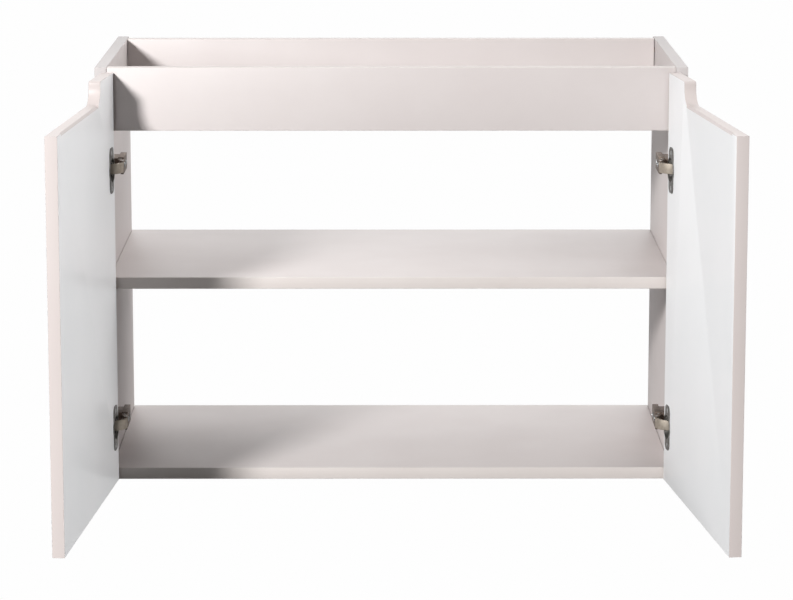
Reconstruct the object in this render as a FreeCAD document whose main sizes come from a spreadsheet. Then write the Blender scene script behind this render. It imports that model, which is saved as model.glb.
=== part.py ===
"""Sink base cabinet: an open-backed, open-topped carcass with one fixed shelf, two rails and two
doors whose top edges drop from a full-height tab, hung on four concealed cup hinges.

+X is to the right of someone facing the doors, +Y points to the wall, +Z is up. The origin is the
middle of the carcass's underside. The doors stand open, as they do at rest."""

import FreeCAD, Part

import math
import os
import re

import Sketcher

# Every driving size, in millimetres or degrees, with what it measures.
SIZES = {
    # carcass
    "width": (800, "overall width over the side panels"),
    "height": (570, "carcass height"),
    "depth": (380, "carcass depth, without the doors"),
    "board": (16, "thickness of every board"),
    "rail_height": (86, "height of the front and back rails"),
    "rail_setback": (19, "from the carcass's back edge to the back rail"),
    "shelf_underside": (266.5, "height of the shelf's underside"),
    # doors
    "side_reveal": (1.5, "side panel's edge left bare beside a closed door"),
    "door_split": (3, "gap between the two closed doors"),
    "door_lift": (0.5, "door's bottom edge above the carcass underside"),
    "door_gap": (2.3, "closed door's inner face to the carcass front"),
    "door_board": (16, "door thickness"),
    "tab_top_gap": (6.5, "carcass top down to the top of the door's tab"),
    "scoop_drop": (30, "tab's top down to the lowered top edge"),
    "tab_width": (96, "width of the full-height tab beside the hinges"),
    "scoop_radius": (22, "hollow at the foot of the tab"),
    "tab_nose": (4, "rounding of the tab's top corner"),
    "grip_depth": (3, "bevel behind the lowered top edge"),
    "grip_stop": (24, "bevel's end to the door's free edge"),
    "door_easing": (1, "rounding round the door's outer face"),
    # hinge positions
    "upper_hinge_down": (136, "upper hinges below the carcass top"),
    "lower_hinge": (79, "lower hinges above the carcass underside"),
    # hinge cup, measured in from the door's hinge edge and out through the door
    "cup_radius": (17.5, "outside of the cup"),
    "cup_edge": (3, "cup's outside to the door's hinge edge"),
    "cup_depth": (12.6, "cup below the door's inner face"),
    "cup_wall": (1, "cup's wall"),
    "cup_floor": (0.7, "cup's floor"),
    "flange": (1.2, "flange on the door's inner face"),
    "flange_lip": (1, "flange's ring outside the cup"),
    "flange_reach": (31, "flange's half length"),
    "flange_half": (13, "flange's half width"),
    "flange_corner": (9, "flange's corner radius"),
    "cup_screw_pitch": (48, "between the two cup screws"),
    "cup_screw_offset": (6, "cup's centre to the cup screws' line"),
    "ear_near": (6.2, "ear's start, from the hinge edge"),
    "ear_far": (14.5, "ear's end, from the hinge edge"),
    "ear_top": (0.3, "ear's top below the door's inner face"),
    "ear_thick": (2.3, "thickness of each of the cup's two ears"),
    # linkage
    "inner_pin_in": (9.0, "inner link's cup pin, from the hinge edge"),
    "inner_pin_deep": (4.0, "inner link's cup pin, below the inner face"),
    "outer_pin_in": (11.5, "outer link's cup pin, from the hinge edge"),
    "outer_pin_deep": (8.8, "outer link's cup pin, below the inner face"),
    "inner_pivot_out": (16, "inner link's rivet, off the side panel"),
    "inner_pivot_back": (16, "inner link's rivet, behind the carcass front"),
    "outer_pivot_stand": (25.5, "outer link's rivet, off the line between its pin's two ends"),
    "inner_swing": (22.3, "inner link's turn while the door opens fully"),
    "full_opening": (95, "door angle at which the linkage closes exactly again"),
    "open_stop": (100, "door angle at the hinge's stop"),
    "left_opening": (95, "left door's angle at rest"),
    "right_opening": (97, "right door's angle at rest"),
    # links, rivets and pins
    "cup_pin": (1.0, "radius of the two cup pins"),
    "cup_pin_half": (9, "half length of the cup pins"),
    "rivet": (1.5, "radius of the arm's rivets"),
    "rivet_head": (2.1, "radius of a rivet's head"),
    "rivet_head_thick": (0.7, "thickness of a rivet's head"),
    "pin_play": (0.05, "radial clearance of a link on its pin"),
    "pin_seat": (0.02, "radial clearance of a pin in its seat"),
    "pin_end_play": (0.3, "beyond each end of a cup pin"),
    "slot_play": (0.15, "clearance round the outer link's pin in the ears' slots"),
    "link_half": (1.2, "half width of both links, side on"),
    "link_sheet": (1.2, "outer link's two cheeks"),
    "link_web": (1, "outer link's web between its cheeks"),
    "cup_eye": (1.9, "radius of a link's end round a cup pin"),
    "inner_eye": (2.6, "radius of the inner link's end round its rivet"),
    "outer_eye": (2.2, "radius of the outer link's end round its rivet"),
    "crank_start": (4.0, "inner link's first bend, inward of its cup pin"),
    "crank_start_drop": (1.0, "the same, further into the cup"),
    "crank_end": (7.1, "inner link's second bend, inward of its cup pin"),
    "crank_end_drop": (1.2, "the same, further into the cup"),
    "crank_rise": (9.7, "inner link's third bend, inward of its cup pin"),
    "crank_rise_lift": (0.3, "the same, back out of the cup"),
    "fork_half": (3.6, "half width of the fork at the inner link's rivet"),
    "fork_deep": (8, "fork's root, from the rivet"),
    "inner_link_half": (5.3, "inner link's half height"),
    "layer_gap": (0.4, "between one layer of the linkage and the next"),
    "outer_rise": (6.8, "bow of the outer link"),
    # arm and mounting plate
    "arm_sheet": (1.5, "steel of the arm"),
    "arm_top": (20.5, "arm's top off the side panel"),
    "arm_foot": (12.5, "arm's lower edge off the side panel"),
    "arm_back": (66, "arm's rear end, behind the carcass front"),
    "arm_nose": (2.2, "arm's rounding round the outer link's rivet"),
    "arm_web_front": (12, "front of the arm's top, behind the carcass front"),
    "arm_neck_low": (2, "arm's lower edge turns up, ahead of the inner rivet"),
    "arm_shoulder": (19.5, "where the arm widens, behind the carcass front"),
    "arm_wide_half": (11, "half height of the arm's wide rear"),
    "plate_line": (37, "plate screws' line, behind the carcass front"),
    "plate_screw_pitch": (32, "between the two plate screws"),
    "plate_base": (2, "mounting plate's base"),
    "plate_wing": (25, "half length of the plate's wings"),
    "plate_wing_half": (7, "half width of the plate's wings"),
    "plate_back": (60, "pedestal's back, behind the carcass front"),
    "seat_play": (0.1, "clearance of the arm on its plate"),
    "side_screw_back": (25, "side adjusting screw, behind the carcass front"),
    "fixing_screw_back": (46, "fixing screw, behind the carcass front"),
    "adjuster_tip": (9, "both adjusting screws' tips off the side panel"),
    "adjuster": (2, "radius of both adjusting screws"),
    "adjuster_head": (3.4, "radius of their heads"),
    "adjuster_head_thick": (1.6, "thickness of their heads"),
    # screws
    "plate_screw": (2.45, "radius of a plate screw in the board"),
    "plate_screw_head": (4.2, "radius of its head"),
    "plate_screw_head_thick": (1.5, "thickness of its head"),
    "plate_screw_reach": (11, "depth of its thread in the side panel"),
    "cup_screw": (1.7, "radius of a cup screw in the door"),
    "cup_screw_head": (3.2, "radius of its head"),
    "cup_screw_head_thick": (0.7, "thickness of its head"),
    "cup_screw_reach": (12, "depth of its thread in the door"),
    "bore_play": (0.05, "radial clearance of a fastener in its boring"),
    "bore_end": (0.3, "boring's floor beyond the fastener's end"),
    # board joints
    "joint_line": (50, "cam joints in from a board's front and back edges"),
    "dowel_step": (32, "dowel beside its cam joint"),
    "rail_dowel_step": (26, "rail's dowels above and below its cam joint"),
    "dowel": (4, "radius of a dowel"),
    "dowel_in_side": (11.5, "dowel in the side panel"),
    "dowel_in_board": (18, "dowel in the board's end"),
    "cam_centre": (34, "cam's centre from the board's end"),
    "cam": (7.4, "radius of a cam"),
    "cam_depth": (12.4, "cam's length"),
    "cam_slot": (3.4, "half width of the cam's bolt slot"),
    "bolt_stem": (2.45, "radius of a cam bolt"),
    "bolt_reach": (11, "its thread in the side panel"),
    "bolt_collar": (3.4, "radius of its collar"),
    "bolt_collar_reach": (24, "its collar in the board's end"),
    # wall fixing
    "wall_hole": (3.5, "radius of a wall screw's hole"),
    "wall_hole_in": (60, "wall screw's hole in from the rail's end"),
    "wall_hole_down": (60, "wall screw's hole below the carcass top"),
}

doc = FreeCAD.newDocument("SinkBaseCabinet")
sheet = doc.addObject("Spreadsheet::Sheet", "Sizes")
for row, (alias, (value, meaning)) in enumerate(SIZES.items(), start=1):
    sheet.set(f"A{row}", meaning)
    sheet.set(f"B{row}", str(value))
    sheet.setAlias(f"B{row}", alias)
doc.recompute()

Vector = FreeCAD.Vector
Placement = FreeCAD.Placement
Rotation = FreeCAD.Rotation
AXES = {"x": Vector(1, 0, 0), "y": Vector(0, 1, 0), "z": Vector(0, 0, 1)}
NODES = []


# ---------------------------------------------------------------- sizes and expressions


def cells(text):
    """The expression with each size's name turned into its cell."""
    return re.sub(r"[a-z_]+", lambda m: f"Sizes.{m.group()}" if m.group() in SIZES else m.group(), text)


def number(text):
    """What the expression comes to with the present sizes."""
    return float(sheet.evalExpression(cells(text)))


def bind(thing, name, text):
    thing.setExpression(name, cells(text))


def place(thing, at):
    for axis, text in zip("xyz", at):
        bind(thing, f"Placement.Base.{axis}", text)


# ---------------------------------------------------------------- primitives and booleans


def block(name, size, at):
    box = doc.addObject("Part::Box", name)
    for side, text in zip(("Length", "Width", "Height"), size):
        bind(box, side, text)
    place(box, at)
    return box


def rod(name, radius, length, at, along):
    """A cylinder that starts at a point and runs along +x, +y or +z."""
    cylinder = doc.addObject("Part::Cylinder", name)
    bind(cylinder, "Radius", radius)
    bind(cylinder, "Height", length)
    cylinder.Placement = Placement(Vector(), Rotation(AXES["z"], AXES[along]))
    place(cylinder, at)
    return cylinder


def prism(name, sides, radius, length, at, along):
    """A many-sided rod, with its corners on the radius."""
    solid = doc.addObject("Part::Prism", name)
    solid.Polygon = sides
    bind(solid, "Circumradius", radius)
    bind(solid, "Height", length)
    solid.Placement = Placement(Vector(), Rotation(AXES["z"], AXES[along]))
    place(solid, at)
    return solid


def fuse(name, pieces):
    joined = doc.addObject("Part::MultiFuse", name)
    joined.Shapes = pieces
    joined.Refine = True
    return joined


def cut(name, base, tools):
    result = doc.addObject("Part::Cut", name)
    result.Base = base
    result.Tool = tools[0] if len(tools) == 1 else fuse(f"{name}_cutters", tools)
    result.Refine = True
    return result


def extrude(name, sketch, length, along="z", both_ways=True):
    """A solid from a flat sketch, by length in all, half of it to each side or all of it ahead."""
    solid = doc.addObject("Part::Extrusion", name)
    solid.Base = sketch
    solid.DirMode = "Custom"
    solid.Dir = AXES[along]
    solid.Solid = True
    solid.Symmetric = both_ways
    bind(solid, "LengthFwd", length)
    return solid


def node(label, thing, placement=None):
    """Marks an object as a finished sub-part, and sets it in its place."""
    thing.Label = label
    if placement is not None:
        thing.Placement = placement
    NODES.append(thing)
    return thing


def group(label, pieces, placement=None):
    """One node of several separate solids, or a placed copy of one master solid."""
    together = doc.addObject("Part::Compound", label)
    together.Links = pieces
    return node(label, together, placement)


def copy(name, master, placement):
    """A placed copy of a master solid."""
    twin = doc.addObject("Part::Compound", name)
    twin.Links = [master]
    twin.Placement = placement
    return twin


# ---------------------------------------------------------------- sketches


def hold(sketch, edge, point, at):
    """Ties a point of the sketch to the origin by its two coordinates."""
    for kind, text, axis in (("DistanceX", at[0], -2), ("DistanceY", at[1], -1)):
        value = number(text)
        if abs(value) < 1e-9:
            sketch.addConstraint(Sketcher.Constraint("PointOnObject", edge, point, axis))
            continue
        index = sketch.addConstraint(Sketcher.Constraint(kind, -1, 1, edge, point, value))
        bind(sketch, f"Constraints[{index}]", text)


def arc_between(start, end, radius, turn):
    """The shorter arc between two points, which bends to the left where turn is 1."""
    chord = end - start
    half = chord.Length / 2
    rise = radius - math.sqrt(max(radius**2 - half**2, 0))
    normal = Vector(-chord.y, chord.x, 0).normalize()
    return Part.Arc(start, (start + end) / 2 - normal * turn * rise, end)


def draw(sketch, corners, closed=True):
    """Draws lines and arcs from corner to corner. A corner is (x, y), or (x, y, radius, turn)
    where the edge that leaves it is an arc."""
    spots = [Vector(number(c[0]), number(c[1]), 0) for c in corners]
    edges = []
    count = len(corners) if closed else len(corners) - 1
    for i in range(count):
        start, end = spots[i], spots[(i + 1) % len(spots)]
        if len(corners[i]) == 2:
            shape = Part.LineSegment(start, end)
        else:
            shape = arc_between(start, end, number(corners[i][2]), corners[i][3])
        edges.append(sketch.addGeometry(shape, False))

    def end_at(i, spot):
        """Which end of edge i lies at the spot: 1 for its start and 2 for its end."""
        return 1 if sketch.getPoint(edges[i], 1).distanceToPoint(spot) < 1e-6 else 2

    for i in range(count):
        following = (i + 1) % count
        if closed or i + 1 < count:
            spot = spots[(i + 1) % len(spots)]
            joint = ("Coincident", edges[i], end_at(i, spot), edges[following], end_at(following, spot))
            sketch.addConstraint(Sketcher.Constraint(*joint))
        hold(sketch, edges[i], end_at(i, spots[i]), corners[i])
        if len(corners[i]) == 4:
            radius = sketch.addConstraint(Sketcher.Constraint("Radius", edges[i], number(corners[i][2])))
            bind(sketch, f"Constraints[{radius}]", corners[i][2])
    if not closed:
        hold(sketch, edges[-1], end_at(count - 1, spots[-1]), corners[-1])


def ring(sketch, at, radius):
    centre = Vector(number(at[0]), number(at[1]), 0)
    circle = sketch.addGeometry(Part.Circle(centre, AXES["z"], number(radius)), False)
    hold(sketch, circle, 3, at)
    index = sketch.addConstraint(Sketcher.Constraint("Radius", circle, number(radius)))
    bind(sketch, f"Constraints[{index}]", radius)


def flat_sketch(name, corners, closed=True):
    """A sketch in the XY plane, for a Part extrusion."""
    sketch = doc.addObject("Sketcher::SketchObject", name)
    draw(sketch, corners, closed)
    return sketch


def band(name, spine, half_width):
    """A rounded strip along an open sketch."""
    strip = doc.addObject("Part::Offset2D", name)
    strip.Source = spine
    strip.Fill = True
    strip.Join = "Arc"
    strip.Mode = "Pipe"
    bind(strip, "Value", half_width)
    return strip


def body_sketch(body, name, role):
    """A sketch on one of the body's own origin planes."""
    sketch = body.newObject("Sketcher::SketchObject", name)
    plane = next(f for f in body.Origin.OriginFeatures if f.Role == role)
    sketch.AttachmentSupport = [(plane, "")]
    sketch.MapMode = "FlatFace"
    return sketch


def pocket(body, sketch, name, depth, reverse):
    """Cuts the sketch into the body, and makes sure that it took something away."""
    doc.recompute()
    before = body.Shape.Volume
    cutter = body.newObject("PartDesign::Pocket", name)
    cutter.Profile = sketch
    cutter.Type = "Length"
    cutter.Reversed = reverse
    bind(cutter, "Length", depth)
    doc.recompute()
    if not body.Shape.Volume < before:
        raise RuntimeError(f"{name} cuts nothing")
    return cutter


# ---------------------------------------------------------------- the linkage's geometry


def turned(point, degrees, centre=(0, 0)):
    angle = math.radians(degrees)
    x, y = point[0] - centre[0], point[1] - centre[1]
    return (
        centre[0] + x * math.cos(angle) - y * math.sin(angle),
        centre[1] + x * math.sin(angle) + y * math.cos(angle),
    )


class Linkage:
    """One hinge, seen from above in its own frame, with the door closed: x runs off the side
    panel's inner face into the opening, y back from the carcass front. The inner link carries the
    door exactly. The outer link's cup pin fits at both ends of the travel and strays between
    them, within the slots of the cup's ears."""

    STEPS = 40

    def __init__(self):
        self.edge = (-number("board - side_reveal"), -number("door_gap"))
        self.inner_pivot = (number("inner_pivot_out"), number("inner_pivot_back"))
        self.inner_pin = self.in_door("inner_pin_in", "inner_pin_deep")
        self.outer_pin = self.in_door("outer_pin_in", "outer_pin_deep")
        opened = self.on_door(self.outer_pin, 1)
        chord = (opened[0] - self.outer_pin[0], opened[1] - self.outer_pin[1])
        long = math.hypot(*chord)
        stand = number("outer_pivot_stand") / long
        self.outer_pivot = (
            (self.outer_pin[0] + opened[0]) / 2 - chord[1] * stand,
            (self.outer_pin[1] + opened[1]) / 2 + chord[0] * stand,
        )
        if self.outer_pivot[1] < self.outer_pin[1]:
            raise RuntimeError("the outer link's rivet lies on the wrong side")
        reach = math.dist(self.outer_pin, self.outer_pivot)
        self.outer_swing = 2 * math.degrees(math.asin(long / 2 / reach))

        rise = number("outer_rise")
        span = reach / 2
        self.bow_radius = (span**2 + rise**2) / (2 * rise)
        ahead = [(self.outer_pivot[i] - self.outer_pin[i]) / reach for i in (0, 1)]
        back = self.bow_radius - rise
        self.bow_centre = (
            (self.outer_pin[0] + self.outer_pivot[0]) / 2 - ahead[1] * back,
            (self.outer_pin[1] + self.outer_pivot[1]) / 2 + ahead[0] * back,
        )

    def in_door(self, inward, deep):
        return (self.edge[0] + number(inward), self.edge[1] - number(deep))

    def on_door(self, point, share):
        """Where a point of the closed door goes at a share of the full opening."""
        pin = turned(self.inner_pin, number("inner_swing") * share, self.inner_pivot)
        offset = (point[0] - self.inner_pin[0], point[1] - self.inner_pin[1])
        x, y = turned(offset, -number("full_opening") * share)
        return (pin[0] + x, pin[1] + y)

    def stray(self, share):
        """Where the outer link's pin stands in the closed door's frame at a share of the opening."""
        pin = turned(self.outer_pin, self.outer_swing * share, self.outer_pivot)
        carried = turned(self.inner_pin, number("inner_swing") * share, self.inner_pivot)
        x, y = turned((pin[0] - carried[0], pin[1] - carried[1]), number("full_opening") * share)
        return (self.inner_pin[0] + x - self.edge[0], self.inner_pin[1] + y - self.edge[1])

    def slot(self):
        """The straight slot that holds the stray: its two end centres and the play it needs."""
        last = number("open_stop / full_opening")
        spots = [self.stray(last * i / self.STEPS) for i in range(self.STEPS + 1)]
        home = spots[0]
        far = max(spots, key=lambda p: math.hypot(p[0] - home[0], p[1] - home[1]))
        along = (far[0] - home[0], far[1] - home[1])
        size = math.hypot(*along)
        along = (along[0] / size, along[1] / size)
        shift = [((p[0] - home[0]) * along[0] + (p[1] - home[1]) * along[1]) for p in spots]
        aside = [(-(p[0] - home[0]) * along[1] + (p[1] - home[1]) * along[0]) for p in spots]
        middle = (max(aside) + min(aside)) / 2
        ends = [
            (home[0] + along[0] * s - along[1] * middle, home[1] + along[1] * s + along[0] * middle)
            for s in (min(shift), max(shift))
        ]
        return ends, (max(aside) - min(aside)) / 2, math.degrees(math.atan2(along[1], along[0]))


linkage = Linkage()

# What the linkage works out to goes into a second sheet, so that the solids can be bound to it.
PLACES = {
    "inner_pin_x": linkage.inner_pin[0],
    "inner_pin_y": linkage.inner_pin[1],
    "outer_pin_x": linkage.outer_pin[0],
    "outer_pin_y": linkage.outer_pin[1],
    "outer_pivot_x": linkage.outer_pivot[0],
    "outer_pivot_y": linkage.outer_pivot[1],
    "outer_swing": linkage.outer_swing,
    "bow_x": linkage.bow_centre[0],
    "bow_y": linkage.bow_centre[1],
    "bow_radius": linkage.bow_radius,
}
(slot_home, slot_far), slot_spread, slot_angle = linkage.slot()
PLACES.update(
    slot_home_x=slot_home[0],
    slot_home_y=slot_home[1],
    slot_long=math.hypot(slot_far[0] - slot_home[0], slot_far[1] - slot_home[1]),
    slot_spread=slot_spread,
)
for row, (alias, value) in enumerate(PLACES.items(), start=len(SIZES) + 2):
    SIZES[alias] = (value, "worked out from the linkage")
    sheet.set(f"A{row}", "worked out from the linkage")
    sheet.set(f"B{row}", repr(value))
    sheet.setAlias(f"B{row}", alias)
doc.recompute()

# The layers of a hinge, outward from its middle: inner link, outer link, ears and arm.
OUTER_LINK_IN = "(inner_link_half + layer_gap)"
OUTER_LINK_HALF = "(inner_link_half + layer_gap + link_sheet)"
EAR_IN = "(inner_link_half + layer_gap * 2 + link_sheet)"
ARM_HALF = "(inner_link_half + layer_gap * 2 + link_sheet + arm_sheet)"
CUP_IN = "(cup_edge + cup_radius)"
HINGE_EDGE = "(side_reveal - board)"

UPPER_HINGE = "(height - upper_hinge_down)"

# Small pieces that repeat are many-sided, which keeps down the number of their faces.
SHANK_SIDES = 8
HEAD_SIDES = 12
CAM_SIDES = 16


# ---------------------------------------------------------------- hinge pieces, door closed


def both_ears(name, make):
    """The same piece above and below the hinge's middle."""
    return [make(f"{name}_upper", 1), make(f"{name}_lower", -1)]


def through(name, radius, x, y, half):
    """A rod along the hinge's pins, half to each side of its middle."""
    return rod(name, radius, f"2 * {half}", (x, y, f"-{half}"), "z")


def hinge_cup():
    middle = f"{HINGE_EDGE} + {CUP_IN}"
    shell = rod("cup_shell", "cup_radius", "cup_depth", (middle, "-door_gap - cup_depth", "0"), "y")
    rim = rod("cup_rim", "cup_radius + flange_lip", "flange", (middle, "-door_gap", "0"), "y")
    left = f"{middle} + cup_screw_offset / 2 - flange_half"
    right = f"{middle} + cup_screw_offset / 2 + flange_half"
    straight = "(flange_reach - flange_corner)"
    wing_shape = flat_sketch(
        "flange_shape",
        [
            (f"{left} + flange_corner", "-flange_reach"),
            (f"{right} - flange_corner", "-flange_reach", "flange_corner", 1),
            (right, f"-{straight}"),
            (right, straight, "flange_corner", 1),
            (f"{right} - flange_corner", "flange_reach"),
            (f"{left} + flange_corner", "flange_reach", "flange_corner", 1),
            (left, straight),
            (left, f"-{straight}", "flange_corner", 1),
        ],
    )
    wing_shape.Placement = Placement(Vector(), Rotation(AXES["x"], 90))
    bind(wing_shape, "Placement.Base.y", "-door_gap")
    wings = extrude("flange_wings", wing_shape, "flange", "y", False)
    hollow = rod(
        "cup_hollow",
        "cup_radius - cup_wall",
        "cup_depth + flange",
        (middle, "-door_gap - cup_depth + cup_floor", "0"),
        "y",
    )
    screw_line = f"{middle} + cup_screw_offset"
    screw_holes = both_ears(
        "cup_screw_hole",
        lambda name, side: prism(
            name,
            SHANK_SIDES,
            "cup_screw + bore_play",
            "flange * 3",
            (screw_line, "-door_gap - flange", f"{side} * cup_screw_pitch / 2"),
            "y",
        ),
    )
    pressing = cut("cup_pressing", fuse("cup_blank", [shell, rim, wings]), [hollow, *screw_holes])

    def ear(name, side):
        low = EAR_IN if side > 0 else f"-{EAR_IN} - ear_thick"
        return block(
            name,
            ("ear_far - ear_near", "cup_depth - ear_top - cup_floor / 2", "ear_thick"),
            (f"{HINGE_EDGE} + ear_near", "-door_gap - cup_depth + cup_floor / 2", low),
        )

    whole = fuse("cup_with_ears", [pressing, *both_ears("cup_ear", ear)])
    reach = "(cup_pin_half + pin_end_play)"
    pin_hole = through("inner_pin_hole", "cup_pin + pin_seat", "inner_pin_x", "inner_pin_y", reach)
    half = "(cup_pin + slot_spread + slot_play)"
    home = through("slot_home", half, f"{HINGE_EDGE} + slot_home_x", "slot_home_y - door_gap", reach)
    away = block("slot_straight", ("slot_long", f"2 * {half}", f"2 * {reach}"), ("0", "0", "0"))
    away.Placement = Placement(Vector(), Rotation(AXES["z"], slot_angle))
    lean = math.radians(slot_angle)
    aside = f"{half} * {math.sin(lean)!r}", f"{half} * {-math.cos(lean)!r}"
    place(
        away,
        (
            f"{HINGE_EDGE} + slot_home_x + {aside[0]}",
            f"slot_home_y - door_gap + {aside[1]}",
            f"-{reach}",
        ),
    )
    end = through(
        "slot_end",
        half,
        f"{HINGE_EDGE} + slot_home_x + slot_long * {math.cos(lean)!r}",
        f"slot_home_y - door_gap + slot_long * {math.sin(lean)!r}",
        reach,
    )
    return cut("hinge_cup", whole, [pin_hole, home, away, end])


def cup_screws():
    def screw(name, side):
        at = (f"{HINGE_EDGE} + {CUP_IN} + cup_screw_offset", f"{side} * cup_screw_pitch / 2")
        shank = prism(
            f"{name}_shank",
            SHANK_SIDES,
            "cup_screw",
            "cup_screw_reach + flange",
            (at[0], "-door_gap - cup_screw_reach", at[1]),
            "y",
        )
        head = prism(
            f"{name}_head",
            HEAD_SIDES,
            "cup_screw_head",
            "cup_screw_head_thick",
            (at[0], "flange - door_gap", at[1]),
            "y",
        )
        return fuse(name, [shank, head])

    return both_ears("cup_screw", screw)


def inner_link():
    pin = ("inner_pin_x", "inner_pin_y")
    rivet = ("inner_pivot_out", "inner_pivot_back")
    spine = flat_sketch(
        "inner_link_spine",
        [
            pin,
            (f"{pin[0]} + crank_start", f"{pin[1]} - crank_start_drop"),
            (f"{pin[0]} + crank_end", f"{pin[1]} - crank_end_drop"),
            (f"{pin[0]} + crank_rise", f"{pin[1]} + crank_rise_lift"),
            rivet,
        ],
        closed=False,
    )
    strip = extrude("inner_link_strip", band("inner_link_band", spine, "link_half"), "2 * inner_link_half")
    eyes = [
        through("inner_link_eye", "cup_eye", *pin, "inner_link_half"),
        through("inner_link_boss", "inner_eye", *rivet, "inner_link_half"),
    ]
    holes = [
        through("inner_link_pin_hole", "cup_pin + pin_play", *pin, "(inner_link_half + 1)"),
        through("inner_link_rivet_hole", "rivet + pin_play", *rivet, "(inner_link_half + 1)"),
        through("inner_link_fork", "fork_deep", *rivet, "fork_half"),
    ]
    return cut("inner_link", fuse("inner_link_blank", [strip, *eyes]), holes)


def outer_link():
    pin = ("outer_pin_x", "outer_pin_y")
    rivet = ("outer_pivot_x", "outer_pivot_y")
    high = OUTER_LINK_HALF

    def off_bow(spot, way):
        """A point half the link's width off its bow, away from the bow's centre or towards it."""
        stretch = f"(1 + {way} * link_half / bow_radius)"
        return (f"bow_x + ({spot[0]} - bow_x) * {stretch}", f"bow_y + ({spot[1]} - bow_y) * {stretch}")

    outline = flat_sketch(
        "outer_link_outline",
        [
            (*off_bow(pin, 1), "bow_radius + link_half", 1),
            off_bow(rivet, 1),
            (*off_bow(rivet, -1), "bow_radius - link_half", -1),
            off_bow(pin, -1),
        ],
    )
    strip = extrude("outer_link_strip", outline, f"2 * {high}")
    eyes = [
        through("outer_link_eye", "cup_eye", *pin, high),
        through("outer_link_boss", "outer_eye", *rivet, high),
    ]
    holes = [
        through("outer_link_channel", "bow_radius + link_half - link_web", "bow_x", "bow_y", OUTER_LINK_IN),
        through("outer_link_pin_hole", "cup_pin + pin_seat", *pin, f"({high} + 1)"),
        through("outer_link_rivet_hole", "rivet + pin_play", *rivet, f"({high} + 1)"),
    ]
    return cut("outer_link", fuse("outer_link_blank", [strip, *eyes]), holes)


def adjuster_holes(name, start):
    """Holes for the two adjusting screws, from a height off the side panel outwards."""
    return [
        prism(f"{name}_{screw}_hole", SHANK_SIDES, "adjuster + pin_seat", "arm_top", (start, back, "0"), "x")
        for screw, back in (("side", "side_screw_back"), ("fixing", "fixing_screw_back"))
    ]


def hinge_arm():
    cheek_shape = flat_sketch(
        "arm_cheek_shape",
        [
            ("arm_top", "arm_back"),
            ("arm_foot", "arm_back"),
            ("arm_foot", "inner_pivot_back - arm_neck_low"),
            ("outer_pivot_x - arm_nose", "outer_pivot_y"),
            ("outer_pivot_x + arm_nose", "outer_pivot_y"),
            ("arm_top", "arm_web_front"),
        ],
    )
    neck = extrude("arm_neck", cheek_shape, f"2 * {ARM_HALF}")
    nose = through("arm_nose_round", "arm_nose", "outer_pivot_x", "outer_pivot_y", ARM_HALF)
    rear = block(
        "arm_rear",
        ("arm_top - arm_foot", "arm_back - arm_shoulder", "2 * arm_wide_half"),
        ("arm_foot", "arm_shoulder", "-arm_wide_half"),
    )
    under = "(arm_top - arm_sheet)"
    channel = block(
        "arm_channel",
        (under, "arm_back + arm_back", f"2 * {EAR_IN}"),
        ("0", "-arm_back / 2", f"-{EAR_IN}"),
    )
    mouth = block(
        "arm_mouth",
        ("2 * arm_top", "arm_back + arm_web_front", f"2 * {EAR_IN}"),
        ("0", "-arm_back", f"-{EAR_IN}"),
    )
    inside = "(arm_wide_half - arm_sheet)"
    hollow = block(
        "arm_hollow",
        (under, "arm_back", f"2 * {inside}"),
        ("0", "arm_shoulder + arm_sheet", f"-{inside}"),
    )
    rivet_holes = [
        through("arm_front_hole", "rivet + pin_seat", "outer_pivot_x", "outer_pivot_y", "arm_wide_half"),
        through("arm_rear_hole", "rivet + pin_seat", "inner_pivot_out", "inner_pivot_back", "arm_wide_half"),
    ]
    screw_holes = adjuster_holes("arm", "arm_foot")
    blank = fuse("arm_blank", [neck, nose, rear])
    return cut("hinge_arm", blank, [channel, mouth, hollow, *rivet_holes, *screw_holes])


def arm_rivets():
    def rivet(name, x, y):
        shank = through(f"{name}_shank", "rivet", x, y, ARM_HALF)
        heads = [
            prism(f"{name}_{end}", HEAD_SIDES, "rivet_head", "rivet_head_thick", (x, y, start), "z")
            for end, start in (("head", ARM_HALF), ("foot", f"-{ARM_HALF} - rivet_head_thick"))
        ]
        return fuse(name, [shank, *heads])

    return [
        rivet("front_rivet", "outer_pivot_x", "outer_pivot_y"),
        rivet("rear_rivet", "inner_pivot_out", "inner_pivot_back"),
    ]


def mounting_plate():
    inside = "(arm_wide_half - arm_sheet - seat_play)"
    top = "(arm_top - arm_sheet - seat_play)"
    front = "(arm_shoulder + arm_sheet + seat_play)"
    wing = block(
        "plate_wing_bar",
        ("plate_base", "2 * plate_wing_half", "2 * (plate_wing - plate_wing_half)"),
        ("0", "plate_line - plate_wing_half", "plate_wing_half - plate_wing"),
    )
    tips = both_ears(
        "plate_wing_tip",
        lambda name, side: rod(
            name,
            "plate_wing_half",
            "plate_base",
            ("0", "plate_line", f"{side} * (plate_wing - plate_wing_half)"),
            "x",
        ),
    )
    pedestal = block(
        "plate_pedestal",
        (top, f"plate_back - {front}", f"2 * {inside}"),
        ("0", front, f"-{inside}"),
    )
    screw_holes = both_ears(
        "plate_screw_hole",
        lambda name, side: prism(
            name,
            SHANK_SIDES,
            "plate_screw + bore_play",
            "2 * plate_base",
            ("-plate_base / 2", "plate_line", f"{side} * plate_screw_pitch / 2"),
            "x",
        ),
    )
    threads = adjuster_holes("plate", "adjuster_tip - bore_end")
    return cut("mounting_plate", fuse("plate_blank", [wing, *tips, pedestal]), [*screw_holes, *threads])


def adjusting_screws():
    def screw(name, back):
        long = "arm_top - adjuster_tip"
        shank = prism(f"{name}_shank", SHANK_SIDES, "adjuster", long, ("adjuster_tip", back, "0"), "x")
        head = prism(
            f"{name}_head", HEAD_SIDES, "adjuster_head", "adjuster_head_thick", ("arm_top", back, "0"), "x"
        )
        return fuse(name, [shank, head])

    return [screw("side_adjuster", "side_screw_back"), screw("fixing_adjuster", "fixing_screw_back")]


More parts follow.
